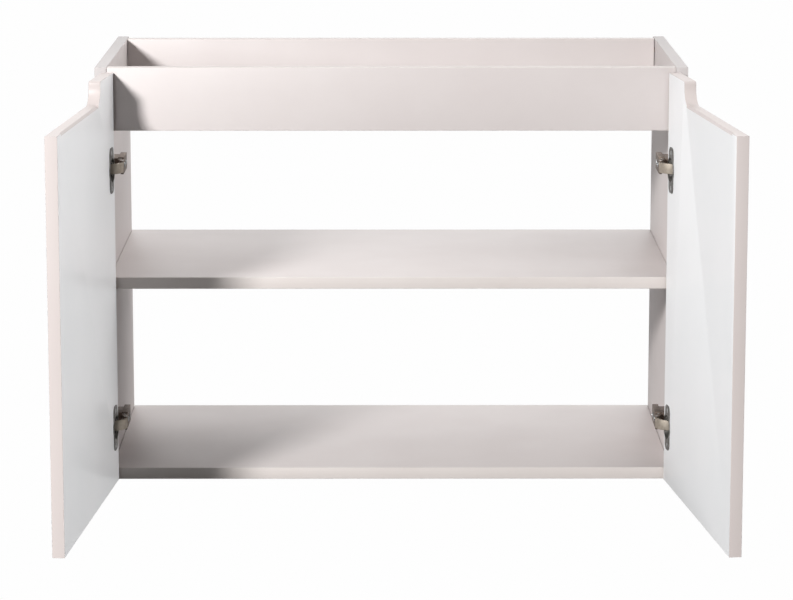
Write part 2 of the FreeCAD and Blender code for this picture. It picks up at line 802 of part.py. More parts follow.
def plate_screws():
    def screw(name, side):
        z = f"{side} * plate_screw_pitch / 2"
        thread = prism(
            f"{name}_thread",
            SHANK_SIDES,
            "plate_screw",
            "plate_screw_reach + plate_base",
            ("-plate_screw_reach", "plate_line", z),
            "x",
        )
        head = prism(
            f"{name}_head",
            HEAD_SIDES,
            "plate_screw_head",
            "plate_screw_head_thick",
            ("plate_base", "plate_line", z),
            "x",
        )
        return fuse(name, [thread, head])

    return both_ears("plate_screw", screw)


# ---------------------------------------------------------------- joints between the boards


def cam_lock():
    """A cam in its board, seen with the board's end at x = 0 and its side panel beyond. It is
    turned in from the board's lower face."""
    drum = prism("cam_drum", CAM_SIDES, "cam", "cam_depth", ("-cam_centre", "0", "-board / 2"), "z")
    passage = block(
        "cam_passage",
        ("2 * cam", "2 * cam_slot", "2 * cam_slot"),
        ("-cam_centre - cam_slot", "-cam_slot", "-cam_slot"),
    )
    return cut("cam_lock", drum, [passage])


def cam_bolt():
    """The bolt that a cam draws tight: screwed into the side panel, with a collar in the board."""
    long = "bolt_reach + cam_centre"
    stem = prism("bolt_stem_rod", SHANK_SIDES, "bolt_stem", long, ("-cam_centre", "0", "0"), "x")
    collar = prism(
        "bolt_collar_rod",
        SHANK_SIDES,
        "bolt_collar",
        "bolt_collar_reach",
        ("-bolt_collar_reach", "0", "0"),
        "x",
    )
    return fuse("cam_bolt", [stem, collar])


def cam_boring():
    """What a cam joint takes out of a board and of the side panel."""
    end = prism(
        "bore_bolt", SHANK_SIDES, "bolt_collar + bore_play", "cam_centre", ("-cam_centre", "0", "0"), "x"
    )
    pocket_hole = rod(
        "bore_cam",
        "cam + bore_play",
        "cam_depth + bore_end + board",
        ("-cam_centre", "0", "-board * 1.5"),
        "z",
    )
    thread = prism(
        "bore_thread",
        SHANK_SIDES,
        "bolt_stem + bore_play",
        "bolt_reach + bore_end",
        ("0", "0", "0"),
        "x",
    )
    return fuse("cam_boring", [end, pocket_hole, thread])


def dowel_pin():
    """A fluted dowel, half in the side panel and half in the board's end."""
    long = "dowel_in_board + dowel_in_side"
    return prism("dowel_pin", HEAD_SIDES, "dowel", long, ("-dowel_in_board", "0", "0"), "x")


def dowel_boring():
    return prism(
        "dowel_boring",
        HEAD_SIDES,
        "dowel + bore_play",
        "dowel_in_board + dowel_in_side + 2 * bore_end",
        ("-dowel_in_board - bore_end", "0", "0"),
        "x",
    )


BOARDS = {
    "bottom_panel": {
        "size": ("width - 2 * board", "depth", "board"),
        "middle": ("0", "0", "board / 2"),
        "cams": ["depth / 2 - joint_line", "joint_line - depth / 2"],
        "dowels": ["depth / 2 - joint_line - dowel_step", "dowel_step + joint_line - depth / 2"],
        "upright": False,
    },
    "middle_shelf": {
        "size": ("width - 2 * board", "depth", "board"),
        "middle": ("0", "0", "shelf_underside + board / 2"),
        "cams": ["depth / 2 - joint_line", "joint_line - depth / 2"],
        "dowels": ["depth / 2 - joint_line - dowel_step", "dowel_step + joint_line - depth / 2"],
        "upright": False,
    },
    "front_rail": {
        "size": ("width - 2 * board", "board", "rail_height"),
        "middle": ("0", "board / 2 - depth / 2", "height - rail_height / 2"),
        "cams": ["0"],
        "dowels": ["rail_dowel_step", "-rail_dowel_step"],
        "upright": True,
    },
    "back_rail": {
        "size": ("width - 2 * board", "board", "rail_height"),
        "middle": ("0", "depth / 2 - rail_setback - board / 2", "height - rail_height / 2"),
        "cams": ["0"],
        "dowels": ["rail_dowel_step", "-rail_dowel_step"],
        "upright": True,
    },
}


def joint_at(name, master, board, side, offset):
    """A copy of a joint's piece at one end of a board, offset across the board's width."""
    turn = Rotation(AXES["z"], 0 if side > 0 else 180)
    if board["upright"]:
        turn = Rotation(AXES["x"], 90).multiply(turn)
    piece = copy(name, master, Placement(Vector(), turn))
    x, y, z = f"{side} * (width / 2 - board)", *board["middle"][1:]
    if board["upright"]:
        z = f"{z} + {offset}"
    else:
        y = f"{y} + {offset}"
    place(piece, (x, y, z))
    return piece


# ---------------------------------------------------------------- build: carcass

locks, bolts, dowels = [], [], []
side_borings = {-1: [], 1: []}
masters = {"cam_lock": cam_lock(), "cam_bolt": cam_bolt(), "cam_boring": cam_boring()}
masters.update(dowel_pin=dowel_pin(), dowel_boring=dowel_boring())

for label, board in BOARDS.items():
    sizes, middle = board["size"], board["middle"]
    blank = block(f"{label}_blank", sizes, tuple(f"{m} - ({s}) / 2" for m, s in zip(middle, sizes)))
    borings = []
    for side, hand in ((-1, "left"), (1, "right")):
        here = []
        for i, offset in enumerate(board["cams"]):
            tag = f"{label}_{hand}_{i}"
            locks.append(joint_at(f"{tag}_lock", masters["cam_lock"], board, side, offset))
            bolts.append(joint_at(f"{tag}_bolt", masters["cam_bolt"], board, side, offset))
            here.append(joint_at(f"{tag}_cam_boring", masters["cam_boring"], board, side, offset))
        for i, offset in enumerate(board["dowels"]):
            tag = f"{label}_{hand}_{i}"
            dowels.append(joint_at(f"{tag}_dowel", masters["dowel_pin"], board, side, offset))
            here.append(joint_at(f"{tag}_dowel_boring", masters["dowel_boring"], board, side, offset))
        borings += here
        side_borings[side] += here
    if label == "back_rail":
        for side, hand in ((-1, "left"), (1, "right")):
            at = (
                f"{side} * (width / 2 - board - wall_hole_in)",
                f"{middle[1]} - board",
                "height - wall_hole_down",
            )
            borings.append(rod(f"wall_hole_{hand}", "wall_hole", "2 * board", at, "y"))
    node(label, cut(f"{label}_bored", blank, borings))

group("cam_locks", locks)
group("cam_bolts", bolts)
group("dowels", dowels)

HINGES = {
    f"{hand}_{level}": (side, height)
    for hand, side in (("left", -1), ("right", 1))
    for level, height in (("upper", UPPER_HINGE), ("lower", "lower_hinge"))
}
for side, hand in ((-1, "left"), (1, "right")):
    blank = block(
        f"{hand}_side_blank",
        ("board", "depth", "height"),
        (f"{side} * (width - board) / 2 - board / 2", "-depth / 2", "0"),
    )
    screw_bores = []
    for name, (facing, height) in HINGES.items():
        if facing != side:
            continue
        for end in (1, -1):
            start = "width / 2 - board" if side > 0 else "board - width / 2 - plate_screw_reach - bore_end"
            at = (start, "plate_line - depth / 2", f"{height} + {end} * plate_screw_pitch / 2")
            screw_bores.append(
                prism(
                    f"{name}_plate_bore_{'upper' if end > 0 else 'lower'}",
                    SHANK_SIDES,
                    "plate_screw + bore_play",
                    "plate_screw_reach + bore_end",
                    at,
                    "x",
                )
            )
    node(f"{hand}_side_panel", cut(f"{hand}_side_bored", blank, [*side_borings[side], *screw_bores]))

# ---------------------------------------------------------------- build: doors

DOOR_WIDTH = "(width / 2 - side_reveal - door_split / 2)"
TAB_TOP = "(height - tab_top_gap)"
LOW_TOP = f"({TAB_TOP} - scoop_drop)"


def outer_edges(shape, y):
    """The edges that lie on the door's outer face."""
    return [
        f"Edge{i}"
        for i, edge in enumerate(shape.Edges, start=1)
        if all(abs(v.Point.y - y) < 1e-6 for v in edge.Vertexes)
    ]


def build_door(hand, side):
    """A door by itself: its hinge edge at x = 0, its inner face at y = 0 and its true height."""
    body = doc.addObject("PartDesign::Body", f"{hand}_door_body")
    across = -side

    def x(text):
        return f"{across} * ({text})"

    outline = body_sketch(body, f"{hand}_door_outline", "XZ_Plane")
    draw(
        outline,
        [
            ("0", "door_lift"),
            (x(DOOR_WIDTH), "door_lift"),
            (x(DOOR_WIDTH), LOW_TOP),
            (x("tab_width + scoop_radius"), LOW_TOP, "scoop_radius", -across),
            (x("tab_width"), f"{LOW_TOP} + scoop_radius"),
            (x("tab_width"), f"{TAB_TOP} - tab_nose", "tab_nose", across),
            (x("tab_width - tab_nose"), TAB_TOP),
            ("0", TAB_TOP),
        ],
    )
    pad = body.newObject("PartDesign::Pad", f"{hand}_door_pad")
    pad.Profile = outline
    bind(pad, "Length", "door_board")
    doc.recompute()
    if pad.Shape.BoundBox.YMin > -number("door_board") / 2:
        pad.Reversed = True
        doc.recompute()
    easing = body.newObject("PartDesign::Fillet", f"{hand}_door_easing")
    easing.Base = (pad, outer_edges(pad.Shape, -number("door_board")))
    bind(easing, "Radius", "door_easing")

    bores = body_sketch(body, f"{hand}_cup_bores", "XZ_Plane")
    for height in (UPPER_HINGE, "lower_hinge"):
        ring(bores, (x(CUP_IN), height), "cup_radius + bore_play")
    pocket(body, bores, f"{hand}_cup_pockets", "cup_depth + bore_end", True)

    pilots = body_sketch(body, f"{hand}_cup_pilots", "XZ_Plane")
    for height in (UPPER_HINGE, "lower_hinge"):
        for end in (1, -1):
            at = (x(f"{CUP_IN} + cup_screw_offset"), f"{height} + {end} * cup_screw_pitch / 2")
            ring(pilots, at, "cup_screw + bore_play")
    pocket(body, pilots, f"{hand}_cup_pilot_holes", "cup_screw_reach + bore_end", True)

    grip = body_sketch(body, f"{hand}_grip", "YZ_Plane")
    bind(grip, "AttachmentOffset.Base.z", x("tab_width + scoop_radius"))
    draw(
        grip,
        [
            ("0", LOW_TOP),
            ("0", f"{LOW_TOP} - grip_depth"),
            ("-grip_depth", LOW_TOP),
        ],
    )
    length = f"{DOOR_WIDTH} - tab_width - scoop_radius - grip_stop"
    pocket(body, grip, f"{hand}_grip_bevel", length, across > 0)
    return body


# ---------------------------------------------------------------- build: rest pose

ANGLES = {-1: number("left_opening"), 1: number("right_opening")}


def about(point, degrees):
    """A turn about a vertical axis through a point of the hinge's own frame."""
    centre = Vector(point[0], point[1], 0)
    return Placement(Vector(), Rotation(AXES["z"], degrees), centre)


def share(side):
    return ANGLES[side] / number("full_opening")


def inner_move(side):
    return about(linkage.inner_pivot, number("inner_swing") * share(side))


def outer_move(side):
    return about(linkage.outer_pivot, linkage.outer_swing * share(side))


def door_move(side):
    """The door's own turn about the inner link's pin, carried round with the link."""
    turn = -ANGLES[side] - number("inner_swing") * share(side)
    return inner_move(side).multiply(about(linkage.inner_pin, turn))


def hinge_frame(side, height):
    """Where a hinge's own frame lies in the cabinet's: a right-hand hinge is turned over."""
    flip = Rotation(AXES["y"], 180 if side > 0 else 0)
    base = Vector(side * number("width / 2 - board"), -number("depth") / 2, number(height))
    return Placement(base, flip)


for side, hand in ((-1, "left"), (1, "right")):
    door = build_door(hand, side)
    edge = Vector(side * number("width / 2 - side_reveal"), -number("depth / 2 + door_gap"), 0)
    frame = hinge_frame(side, UPPER_HINGE)
    closed = Placement(edge, Rotation())
    node(f"{hand}_door", door, frame.multiply(door_move(side)).multiply(frame.inverse()).multiply(closed))

cup_pin = through("inner_cup_pin", "cup_pin", "inner_pin_x", "inner_pin_y", "cup_pin_half")
loose_pin = through("outer_cup_pin", "cup_pin", "outer_pin_x", "outer_pin_y", "cup_pin_half")
pieces = {
    "hinge_cup": ([hinge_cup()], door_move),
    "inner_link_pin": ([cup_pin], door_move),
    "outer_link_pin": ([loose_pin], outer_move),
    "outer_link": ([outer_link()], outer_move),
    "inner_link": ([inner_link()], inner_move),
    "hinge_arm": ([hinge_arm()], None),
    "arm_rivets": (arm_rivets(), None),
    "mounting_plate": ([mounting_plate()], None),
    "adjusting_screws": (adjusting_screws(), None),
}
for hinge, (side, height) in HINGES.items():
    for label, (solids, move) in pieces.items():
        spot = hinge_frame(side, height)
        group(f"{hinge}_{label}", solids, spot.multiply(move(side)) if move else spot)

pair = doc.addObject("Part::Compound", "cup_screw_pair")
pair.Links = cup_screws()
plate_pair = doc.addObject("Part::Compound", "plate_screw_pair")
plate_pair.Links = plate_screws()
for side, hand in ((-1, "left"), (1, "right")):
    spots = [hinge_frame(side, height) for facing, height in HINGES.values() if facing == side]
    placed = [
        copy(f"{hand}_cup_screws_{i}", pair, spot.multiply(door_move(side))) for i, spot in enumerate(spots)
    ]
    group(f"{hand}_cup_screws", placed)
group(
    "plate_screws",
    [copy(f"{name}_plate_screws", plate_pair, hinge_frame(*where)) for name, where in HINGES.items()],
)

# ---------------------------------------------------------------- check and export

doc.recompute()
for thing in doc.Objects:
    bad = [state for state in thing.State if state in ("Invalid", "Error")]
    if bad:
        raise RuntimeError(f"{thing.Name} is {bad}")
    shape = getattr(thing, "Shape", None)
    if shape is not None and thing.TypeId != "Sketcher::SketchObject" and not shape.isNull():
        if not shape.isValid():
            raise RuntimeError(f"{thing.Name} has a bad shape")
os.makedirs("parts", exist_ok=True)
for thing in NODES:
    if thing.Shape.isNull() or not thing.Shape.Solids:
        raise RuntimeError(f"{thing.Label} holds no solid")
    thing.Shape.exportStep(f"parts/{thing.Label}.step")
    print(thing.Label, len(thing.Shape.Solids), round(thing.Shape.Volume, 1))
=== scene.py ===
import itertools
import math

import bmesh
import bpy
from mathutils import Euler, Matrix, Vector

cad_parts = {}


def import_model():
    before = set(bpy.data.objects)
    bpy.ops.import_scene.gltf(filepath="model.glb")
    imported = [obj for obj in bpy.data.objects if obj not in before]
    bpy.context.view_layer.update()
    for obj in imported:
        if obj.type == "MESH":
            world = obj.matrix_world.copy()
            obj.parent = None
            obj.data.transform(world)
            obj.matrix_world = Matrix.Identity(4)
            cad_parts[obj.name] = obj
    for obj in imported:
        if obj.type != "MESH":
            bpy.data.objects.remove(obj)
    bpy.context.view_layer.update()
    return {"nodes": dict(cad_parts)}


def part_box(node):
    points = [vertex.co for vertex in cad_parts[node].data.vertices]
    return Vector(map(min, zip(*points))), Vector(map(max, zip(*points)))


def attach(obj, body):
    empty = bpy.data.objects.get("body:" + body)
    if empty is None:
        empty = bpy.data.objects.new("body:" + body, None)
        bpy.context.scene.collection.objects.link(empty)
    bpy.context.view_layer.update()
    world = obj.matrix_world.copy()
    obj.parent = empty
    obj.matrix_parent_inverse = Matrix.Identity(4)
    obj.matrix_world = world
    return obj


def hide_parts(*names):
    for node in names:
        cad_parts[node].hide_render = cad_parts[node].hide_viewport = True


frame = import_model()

NODES = frame["nodes"]
SIDES = {"left": -1, "right": 1}
LEVELS = {"upper": 0.434, "lower": 0.079}  # the hinges' heights
REST_ANGLE = {"left": 95.0, "right": 97.0}  # how far the doors stand open

# ---------------------------------------------------------------- sizes, metres
BOARD = 0.016
PANEL_BEVEL = 0.0007
JOINT_GAP = 0.0004  # between a board's end and the side panel
WIDE_GAP = 0.001  # at the back rail's right end, where the photograph shows it
WALL_HOLE_SIDE = 0.324  # from the cabinet's middle
WALL_HOLE_UP = 0.51
WALL_HOLE_RADIUS = 0.0035
WALL_HOLE_REACH = 0.02  # to each side of the rail's middle
CAM_RADIUS = 0.00745
CAM_BORE_DEPTH = 0.0127
PAST = 0.004  # how far a cutter stands out of the face that it opens

DOOR_WIDTH = 0.397
DOOR_LOW = 0.0005
DOOR_BEVEL = 0.0011  # round the outer face
INNER_BEVEL = 0.0005  # round the inner face
TAB_TOP = 0.5635
TAB_WIDTH = 0.096
TAB_NOSE = 0.004
LOW_TOP = 0.5335  # the top edge beyond the tab
SCOOP_RADIUS = 0.022
GRIP_DEPTH = 0.003
GRIP_START = 0.7  # of the scoop's radius, past the tab
GRIP_STOP = 0.024  # short of the door's free edge
CUP_IN = 0.0205  # from the door's hinge edge to the cup's middle
CUP_BORE_RADIUS = 0.0175 + 0.00005  # the cup and its play
CUP_BORE_DEPTH = 0.0129

CUP_ARRIS = 0.00025
LINK_ARRIS = 0.00018
ARM_ARRIS = 0.0003
CUP_HEAD = 0.0007  # the screws' heads, from their undersides
PLATE_HEAD = 0.0015
ADJUSTER_HEAD = 0.0016
THREAD_CORE = 0.72  # of the thread's outer radius
WELD = 1e-6  # corners nearer than this are one


# ---------------------------------------------------------------- shader groups

SURFACE = {"Color": "NodeSocketColor", "Roughness": "NodeSocketFloat", "Normal": "NodeSocketVector"}


def new_group(name, inputs):
    """A shader node group that puts out a surface; gives its tree and its two end nodes."""
    tree = bpy.data.node_groups.new(name, "ShaderNodeTree")
    for label, kind, value in [("Vector", "NodeSocketVector", None), *inputs]:
        socket = tree.interface.new_socket(label, in_out="INPUT", socket_type=kind)
        if value is not None:
            socket.default_value = value
    for label, kind in SURFACE.items():
        tree.interface.new_socket(label, in_out="OUTPUT", socket_type=kind)
    start = tree.nodes.new("NodeGroupInput")
    end = tree.nodes.new("NodeGroupOutput")
    return tree, start, end


def noise_in(tree, vector, scale, detail, roughness, stretch=None):
    """Noise read from a vector, stretched along its axes where asked."""
    source = vector
    if stretch is not None:
        mapping = tree.nodes.new("ShaderNodeMapping")
        mapping.inputs["Scale"].default_value = stretch
        tree.links.new(vector, mapping.inputs["Vector"])
        source = mapping.outputs["Vector"]
    noise = tree.nodes.new("ShaderNodeTexNoise")
    noise.inputs["Scale"].default_value = scale
    noise.inputs["Detail"].default_value = detail
    noise.inputs["Roughness"].default_value = roughness
    tree.links.new(source, noise.inputs["Vector"])
    return noise.outputs["Fac"]


def ranged(tree, value, low, high, start=0.3, stop=0.7):
    """The part of a value between start and stop, spread from low to high."""
    remap = tree.nodes.new("ShaderNodeMapRange")
    remap.inputs["From Min"].default_value = start
    remap.inputs["From Max"].default_value = stop
    remap.inputs["To Min"].default_value = low
    remap.inputs["To Max"].default_value = high
    tree.links.new(value, remap.inputs["Value"])
    return remap.outputs["Result"]


def blended(tree, factor, first, second):
    """A mix of two colours, each given as a colour or as a socket."""
    mix = tree.nodes.new("ShaderNodeMix")
    mix.data_type = "RGBA"
    tree.links.new(factor, mix.inputs["Factor"])
    for label, colour in (("A", first), ("B", second)):
        if isinstance(colour, tuple):
            mix.inputs[label].default_value = colour
        else:
            tree.links.new(colour, mix.inputs[label])
    return mix.outputs["Result"]


def rough_between(tree, value, start):
    """The value spread between the roughness limits that the material gives the group."""
    rough = tree.nodes.new("ShaderNodeMapRange")
    tree.links.new(value, rough.inputs["Value"])
    tree.links.new(start.outputs["Roughness Low"], rough.inputs["To Min"])
    tree.links.new(start.outputs["Roughness High"], rough.inputs["To Max"])
    return rough.outputs["Result"]


def relief(tree, height, distance, strength):
    """The normal of a finely uneven surface; its strength is a number or a socket."""
    bump = tree.nodes.new("ShaderNodeBump")
    bump.inputs["Distance"].default_value = distance
    if isinstance(strength, float):
        bump.inputs["Strength"].default_value = strength
    else:
        tree.links.new(strength, bump.inputs["Strength"])
    tree.links.new(height, bump.inputs["Height"])
    return bump.outputs["Normal"]


def put_out(tree, end, colour, rough, normal):
    """Leads a group's results to its outputs."""
    for label, result in zip(SURFACE, (colour, rough, normal)):
        tree.links.new(result, end.inputs[label])
    return tree


def foil_group():
    """Printed and embossed board facing: a faint cloudiness, fine grain and pores."""
    tree, start, end = new_group(
        "foil_facing",
        [
            ("Light", "NodeSocketColor", (1, 1, 1, 1)),
            ("Deep", "NodeSocketColor", (0.9, 0.9, 0.9, 1)),
            ("Emboss", "NodeSocketFloat", 0.1),
            ("Roughness Low", "NodeSocketFloat", 0.35),
            ("Roughness High", "NodeSocketFloat", 0.45),
        ],
    )
    vector = start.outputs["Vector"]
    cloud = noise_in(tree, vector, scale=9.0, detail=4.0, roughness=0.5)
    grain = noise_in(
        tree, vector, scale=900.0, detail=2.0, roughness=0.6, stretch=(0.12, 0.6, 1.0)
    )
    pores = noise_in(tree, vector, scale=3400.0, detail=1.0, roughness=0.5)
    both = tree.nodes.new("ShaderNodeMath")
    both.operation = "MULTIPLY_ADD"
    both.inputs[1].default_value = 0.35  # the grain's share of the colour
    tree.links.new(grain, both.inputs[0])
    tree.links.new(ranged(tree, cloud, 0.0, 0.65), both.inputs[2])
    colour = blended(tree, both.outputs[0], start.outputs["Light"], start.outputs["Deep"])
    height = tree.nodes.new("ShaderNodeMath")
    height.operation = "ADD"
    tree.links.new(grain, height.inputs[0])
    tree.links.new(pores, height.inputs[1])
    normal = relief(tree, height.outputs[0], distance=0.00004, strength=start.outputs["Emboss"])
    return put_out(tree, end, colour, rough_between(tree, cloud, start), normal)


def metal_group():
    """Plated pressed steel: drawn streaks, small dull patches and a fine uneven polish."""
    tree, start, end = new_group(
        "plated_steel",
        [
            ("Bright", "NodeSocketColor", (0.7, 0.7, 0.7, 1)),
            ("Dull", "NodeSocketColor", (0.5, 0.5, 0.5, 1)),
            ("Roughness Low", "NodeSocketFloat", 0.18),
            ("Roughness High", "NodeSocketFloat", 0.4),
        ],
    )
    vector = start.outputs["Vector"]
    patch = noise_in(tree, vector, scale=160.0, detail=4.0, roughness=0.6)
    streak = noise_in(
        tree, vector, scale=1500.0, detail=2.0, roughness=0.6, stretch=(1.0, 1.0, 0.08)
    )
    dulled = ranged(tree, patch, 0.0, 1.0, 0.35, 0.68)
    colour = blended(tree, dulled, start.outputs["Bright"], start.outputs["Dull"])
    normal = relief(tree, streak, distance=0.00003, strength=0.12)
    return put_out(tree, end, colour, rough_between(tree, streak, start), normal)


def wood_group():
    """Beech: straight grain along X with short darker flecks."""
    tree, start, end = new_group("beech_grain", [])
    vector = start.outputs["Vector"]
    grain = noise_in(
        tree, vector, scale=700.0, detail=4.0, roughness=0.6, stretch=(0.05, 1.0, 1.0)
    )
    fleck = noise_in(
        tree, vector, scale=2600.0, detail=1.0, roughness=0.5, stretch=(0.2, 1.0, 1.0)
    )
    dark = ranged(tree, grain, 0.0, 1.0)
    colour = blended(tree, dark, (0.62, 0.42, 0.25, 1), (0.45, 0.28, 0.15, 1))
    normal = relief(tree, fleck, distance=0.00005, strength=0.3)
    return put_out(tree, end, colour, ranged(tree, fleck, 0.5, 0.75), normal)


def chip_group():
    """Raw chipboard, as the bores lay it open: pressed chips of several browns."""
    tree, start, end = new_group("pressed_chips", [])
    chips = tree.nodes.new("ShaderNodeTexVoronoi")
    chips.inputs["Scale"].default_value = 700.0
    tree.links.new(start.outputs["Vector"], chips.inputs["Vector"])
    tone = tree.nodes.new("ShaderNodeSeparateColor")
    tree.links.new(chips.outputs["Color"], tone.inputs["Color"])
    colour = blended(tree, tone.outputs["Red"], (0.56, 0.42, 0.28, 1), (0.3, 0.2, 0.12, 1))
    rough = ranged(tree, tone.outputs["Green"], 0.75, 0.95, 0.0, 1.0)
    normal = relief(tree, chips.outputs["Distance"], distance=0.0002, strength=0.8)
    return put_out(tree, end, colour, rough, normal)


GROUPS = {
    "foil": foil_group(),
    "metal": metal_group(),
    "wood": wood_group(),
    "chips": chip_group(),
}


# ---------------------------------------------------------------- materials


def material(name, group, metallic=0.0, coat=0.0, coat_roughness=0.1, specular=0.5, **values):
    """A Principled material whose colour, roughness and normal come from a shared group."""
    mat = bpy.data.materials.new(name)
    mat.use_nodes = True
    tree = mat.node_tree
    shader = tree.nodes["Principled BSDF"]
    place = tree.nodes.new("ShaderNodeTexCoord")
    detail = tree.nodes.new("ShaderNodeGroup")
    detail.node_tree = GROUPS[group]
    tree.links.new(place.outputs["Object"], detail.inputs["Vector"])
    for key, value in values.items():
        detail.inputs[key.replace("_", " ").title()].default_value = value
    tree.links.new(detail.outputs["Color"], shader.inputs["Base Color"])
    tree.links.new(detail.outputs["Roughness"], shader.inputs["Roughness"])
    tree.links.new(detail.outputs["Normal"], shader.inputs["Normal"])
    shader.inputs["Metallic"].default_value = metallic
    shader.inputs["Coat Weight"].default_value = coat
    shader.inputs["Coat Roughness"].default_value = coat_roughness
    shader.inputs["Specular IOR Level"].default_value = specular
    return mat


def rgb(r, g, b):
    """A display colour as the linear colour that a shader takes."""

    def linear(v):
        v /= 255.0
        return v / 12.92 if v <= 0.04045 else ((v + 0.055) / 1.055) ** 2.4

    return (linear(r), linear(g), linear(b), 1.0)


CARCASS = material(
    "carcass_facing", "foil", specular=0.42,
    light=rgb(203, 196, 194), deep=rgb(198, 190, 188), emboss=0.25,
    roughness_low=0.4, roughness_high=0.5,
)
BAND = material(
    "edge_band", "foil", specular=0.32,
    light=rgb(206, 199, 195), deep=rgb(201, 193, 189), emboss=0.12,
    roughness_low=0.42, roughness_high=0.5,
)
# Painted shade: a darker copy of the edge band, which darkens the side panels' tops and front
# edges.
SIDE_BAND_PAINTED_SHADE = material(
    "side_panel_band", "foil", specular=0.28,
    light=rgb(191, 186, 185), deep=rgb(186, 180, 179), emboss=0.12,
    roughness_low=0.45, roughness_high=0.55,
)
DOOR_INNER = material(
    "door_inner_face", "foil", coat=0.16, coat_roughness=0.06, specular=0.15,
    light=rgb(239, 239, 240), deep=rgb(235, 236, 237), emboss=0.06,
    roughness_low=0.38, roughness_high=0.45,
)
DOOR_OUTER = material(
    "door_lacquer", "foil", specular=0.35,
    light=rgb(202, 193, 190), deep=rgb(198, 188, 185), emboss=0.1,
    roughness_low=0.4, roughness_high=0.48,
)
NICKEL = material(
    "nickel_steel", "metal", metallic=1.0,
    bright=rgb(176, 165, 153), dull=rgb(142, 132, 121), roughness_low=0.38, roughness_high=0.55,
)
CUP_NICKEL = material(
    "cup_nickel", "metal", metallic=0.9,
    bright=rgb(150, 148, 145), dull=rgb(108, 106, 103), roughness_low=0.4, roughness_high=0.55,
)
LINK_NICKEL = material(
    "link_nickel", "metal", metallic=0.6,
    bright=rgb(178, 168, 155), dull=rgb(160, 150, 138), roughness_low=0.58, roughness_high=0.68,
)
# Painted shade: a darker, browner copy of the hinges' nickel for the arm and the mounting plate,
# which stand in shade behind the links.
ARM_NICKEL_PAINTED_SHADE = material(
    "arm_nickel", "metal", metallic=0.8,
    bright=rgb(134, 121, 111), dull=rgb(106, 95, 87), roughness_low=0.48, roughness_high=0.6,
)
BRIGHT_STEEL = material(
    "bright_steel", "metal", metallic=1.0,
    bright=rgb(200, 198, 195), dull=rgb(160, 158, 155), roughness_low=0.16, roughness_high=0.35,
)
ZINC = material(
    "zinc_plate", "metal", metallic=1.0,
    bright=rgb(205, 207, 208), dull=rgb(165, 168, 170), roughness_low=0.22, roughness_high=0.45,
)
CAST_ZINC = material(
    "cast_zinc", "metal", metallic=1.0,
    bright=rgb(178, 179, 180), dull=rgb(140, 141, 142), roughness_low=0.4, roughness_high=0.6,
)
BEECH = material("beech_dowel", "wood")
RAW_BOARD = material("raw_chipboard", "chips")


# ---------------------------------------------------------------- mesh helpers


def to_object(name, bm, mats):
    """Makes an object of a working mesh, which is used up."""
    mesh = bpy.data.meshes.new(name)
    bm.to_mesh(mesh)
    bm.free()
    obj = bpy.data.objects.new(name, mesh)
    bpy.context.scene.collection.objects.link(obj)
    for mat in mats:
        mesh.materials.append(mat)
    return obj


def removed(obj):
    """Deletes an object together with its mesh."""
    mesh = obj.data
    bpy.data.objects.remove(obj)
    bpy.data.meshes.remove(mesh)


def smooth(obj, degrees=32.0):
    """Smooth shading except across edges sharper than this."""
    mesh = obj.data
    mesh.polygons.foreach_set("use_smooth", [True] * len(mesh.polygons))
    mesh.set_sharp_from_angle(angle=math.radians(degrees))
    mesh.update()


def baked(obj):
    """Turns the object's modifiers into plain mesh."""
    graph = bpy.context.evaluated_depsgraph_get()
    mesh = bpy.data.meshes.new_from_object(obj.evaluated_get(graph))
    mesh.name = obj.name
    old = obj.data
    obj.modifiers.clear()
    obj.data = mesh
    bpy.data.meshes.remove(old)


def carve(obj, cutter):
    """Takes the cutter out of the object."""
    modifier = obj.modifiers.new("carve", "BOOLEAN")
    modifier.operation = "DIFFERENCE"
    modifier.solver = "EXACT"
    modifier.object = cutter
    baked(obj)
    removed(cutter)


def break_edges(bm, edges, width, segments):
    """Rounds the edges given."""
    bmesh.ops.bevel(
        bm, geom=edges, offset=width, segments=segments, profile=0.5,
        affect="EDGES", clamp_overlap=True,
    )


def drum(bm, centre, axis, radius, start, stop, segments=48):
    """Adds a cylinder along an axis, from start to stop past the centre."""
    turn = axis.to_track_quat("Z", "Y").to_matrix().to_4x4()
    middle = centre + axis * ((start + stop) / 2)
    bmesh.ops.create_cone(
        bm,
        cap_ends=True,
        segments=segments,
        radius1=radius,
        radius2=radius,
        depth=stop - start,
        matrix=Matrix.Translation(middle) @ turn,
    )


def closed(bm, first, second):
    """Joins two equal rings of corners into a closed solid."""
    bm.faces.new(first)
    bm.faces.new(list(reversed(second)))
    for i in range(len(first)):
        j = (i + 1) % len(first)
        bm.faces.new([first[j], first[i], second[i], second[j]])
    bmesh.ops.recalc_face_normals(bm, faces=bm.faces)


def islands(node):
    """The separate solids of a CAD node, each as a list of points."""
    bm = bmesh.new()
    bm.from_mesh(NODES[node].data)
    bmesh.ops.remove_doubles(bm, verts=bm.verts, dist=WELD)
    seen, found = set(), []
    for vert in bm.verts:
        if vert in seen:
            continue
        stack, group = [vert], []
        seen.add(vert)
        while stack:
            here = stack.pop()
            group.append(here.co.copy())
            for edge in here.link_edges:
                other = edge.other_vert(here)
                if other not in seen:
                    seen.add(other)
                    stack.append(other)
        found.append(group)
    bm.free()
    return found


def end_of(points, axis):
    """The middle of a solid's end face along an axis."""
    flat = 2e-5
    reach = max(p.dot(axis) for p in points)
    rim = [p for p in points if reach - p.dot(axis) < flat]
    low = Vector(map(min, *[tuple(p) for p in rim])) if len(rim) > 1 else rim[0]
    high = Vector(map(max, *[tuple(p) for p in rim])) if len(rim) > 1 else rim[0]
    return (low + high) / 2


# ---------------------------------------------------------------- carcass boards


